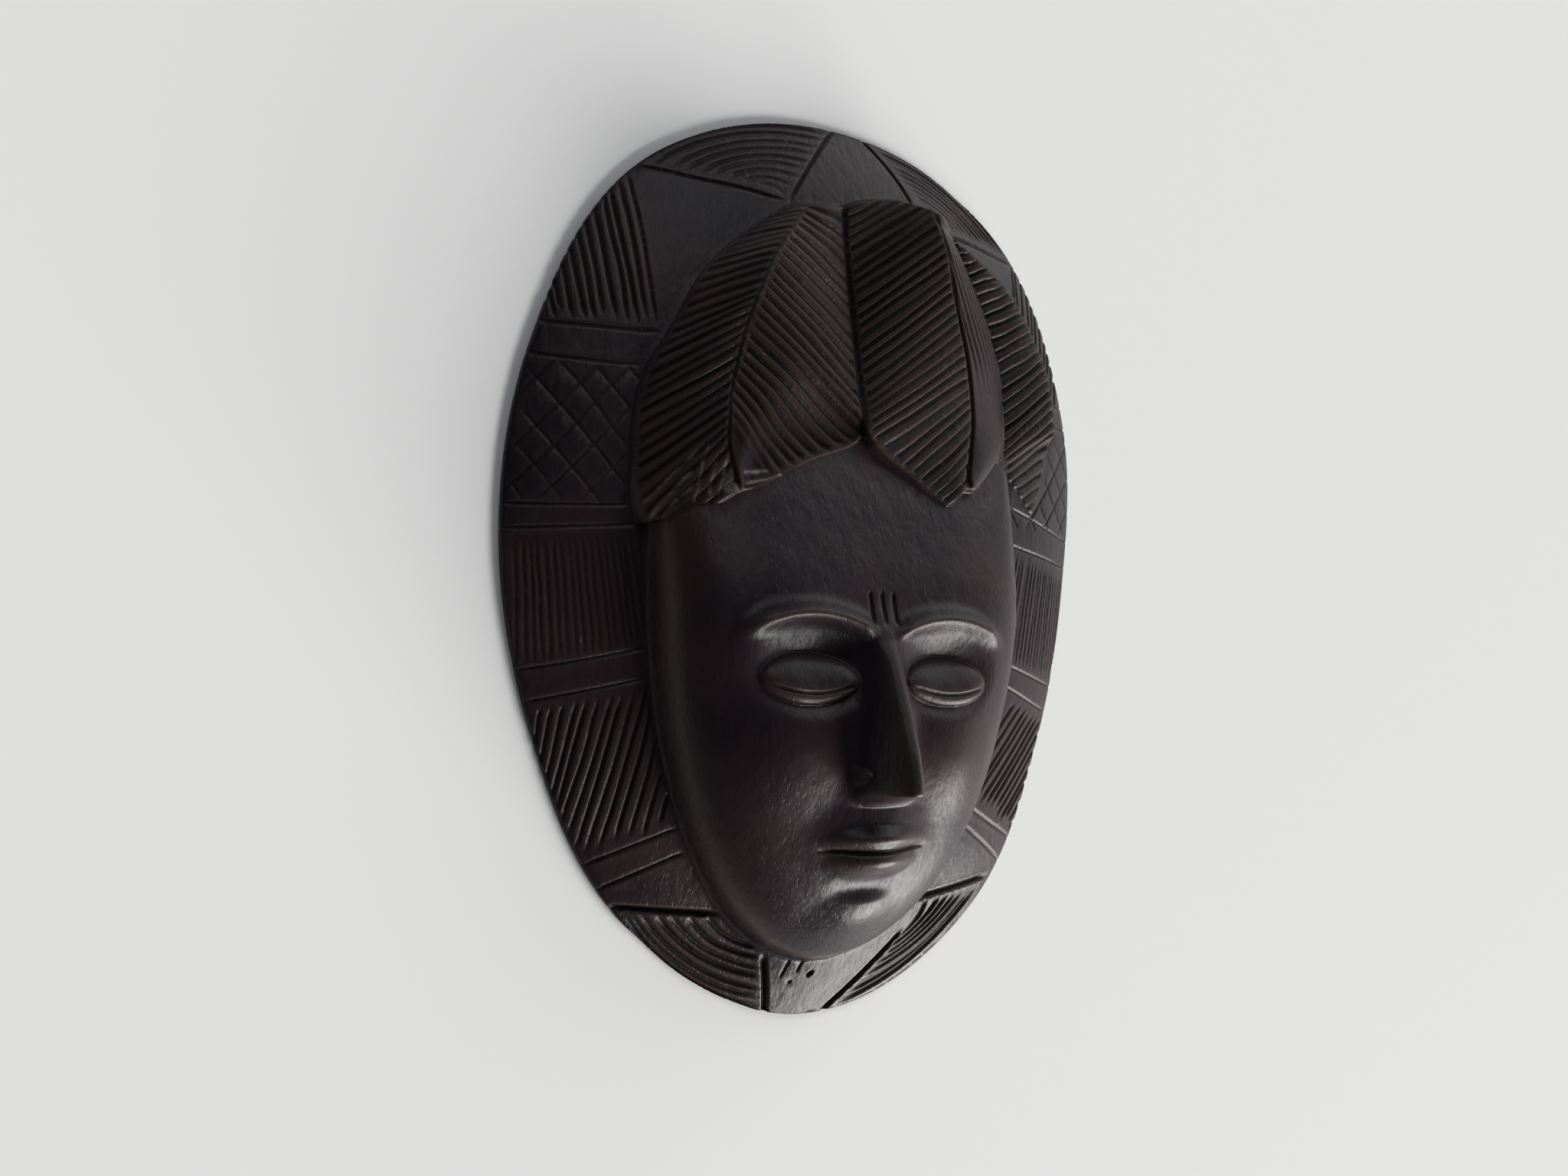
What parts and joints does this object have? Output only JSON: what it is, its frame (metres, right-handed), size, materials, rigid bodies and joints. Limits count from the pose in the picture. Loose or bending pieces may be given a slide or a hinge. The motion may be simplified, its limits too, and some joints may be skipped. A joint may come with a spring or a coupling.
{
  "type": "carved mask",
  "caption": "Oval carved wooden face mask with a broad patterned border, swept grooved hair, closed eyes and a hollowed back, lying face up.",
  "frame": {"origin": "middle of the outline, on the flat of the back that the mask lies on", "axes": "+X across the mask to the right side of the picture, +Y from chin to crown, +Z out of the face"},
  "size_m": [0.3026, 0.398, 0.082],
  "materials": {
    "stained_wood": "dark brown-black stain, hand rubbed to a satin polish, worn reddish brown on some edges"
  },
  "bodies": {
    "root": {"mask_carving": "stained_wood"}
  },
  "joints": []
}
